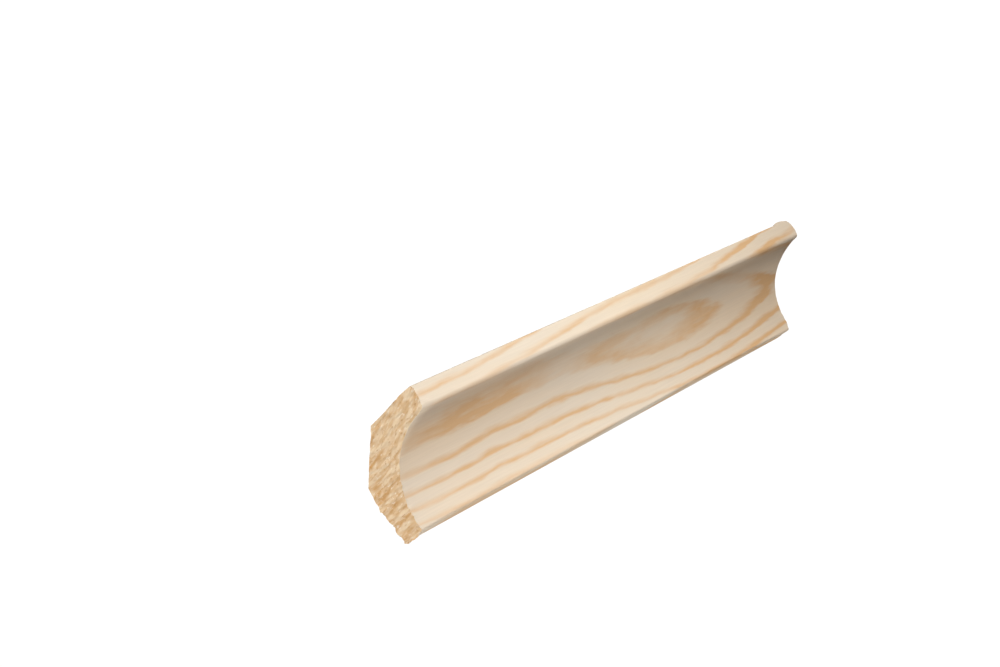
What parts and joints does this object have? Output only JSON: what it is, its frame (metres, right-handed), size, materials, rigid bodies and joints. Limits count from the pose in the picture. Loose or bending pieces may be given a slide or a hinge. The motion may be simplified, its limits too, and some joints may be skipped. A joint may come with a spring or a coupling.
{
  "type": "cove moulding",
  "caption": "Straight softwood cove moulding with a concave face, eased lips and a planed-off back corner, fixed where a wall meets a ceiling to cover the joint.",
  "frame": {"origin": "middle of the narrow flat face that lies on the wall", "axes": "+X along the strip, +Y out of the wall face into the wall, +Z out of the ceiling face into the ceiling; the cove looks towards -Y and -Z, into the room"},
  "size_m": [0.16, 0.021, 0.021],
  "materials": {
    "pine": "planed bare softwood, satin, with orange-tan growth rings and rough sawn ends"
  },
  "bodies": {
    "root": {"cove_moulding": "pine"}
  },
  "joints": []
}
